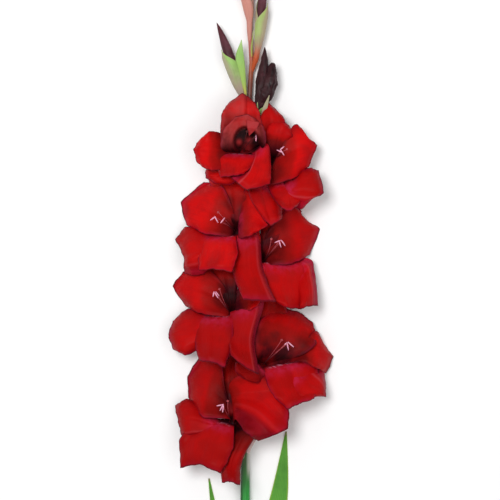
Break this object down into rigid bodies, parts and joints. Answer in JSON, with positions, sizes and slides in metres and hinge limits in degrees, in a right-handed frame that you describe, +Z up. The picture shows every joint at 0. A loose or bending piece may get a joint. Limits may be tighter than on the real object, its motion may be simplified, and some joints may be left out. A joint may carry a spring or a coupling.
{
  "type": "gladiolus flower spike",
  "caption": "Cut gladiolus flower spike with open deep red blooms, maroon buds in green and pink bracts, a green stem and long leaves, lying on a surface.",
  "frame": {"origin": "on the surface that the spike lies on, under the middle of its length and width", "axes": "+Y from the cut end of the stem to the tip of the spike, +Z up, the way the blooms face, +X to the right seen from above with the tip at the top"},
  "size_m": [0.1724, 0.8022, 0.0798],
  "materials": {
    "petal": "velvety petal, satin sheen",
    "bud": "velvety dark bud",
    "stamen": "soft filament and anther",
    "bract": "smooth leafy bract, satin",
    "stem": "smooth green stem, satin",
    "leaf": "ribbed green leaf, satin"
  },
  "bodies": {
    "root": {"flower_stem": "stem", "leaf_left": "leaf", "leaf_right": "leaf", "bloom_1": "petal", "stamens_1": "stamen", "bracts_bloom_1": "bract", "bloom_2": "petal", "stamens_2": "stamen", "bracts_bloom_2": "bract", "bloom_3": "petal", "stamens_3": "stamen", "bracts_bloom_3": "bract", "bloom_4": "petal", "stamens_4": "stamen", "bracts_bloom_4": "bract", "bloom_5": "petal", "stamens_5": "stamen", "bracts_bloom_5": "bract", "bloom_6": "petal", "stamens_6": "stamen", "bracts_bloom_6": "bract", "bloom_7": "petal", "stamens_7": "stamen", "bracts_bloom_7": "bract", "bud_dark_right": "bud", "bracts_dark_right": "bract", "bud_maroon_left": "bud", "bracts_maroon_left": "bract", "bud_upper_right": "bud", "bracts_upper_right": "bract", "bud_upper_left": "bud", "bracts_upper_left": "bract", "bud_high_right": "bud", "bracts_high_right": "bract", "bud_high_left": "bud", "bracts_high_left": "bract"}
  },
  "joints": []
}
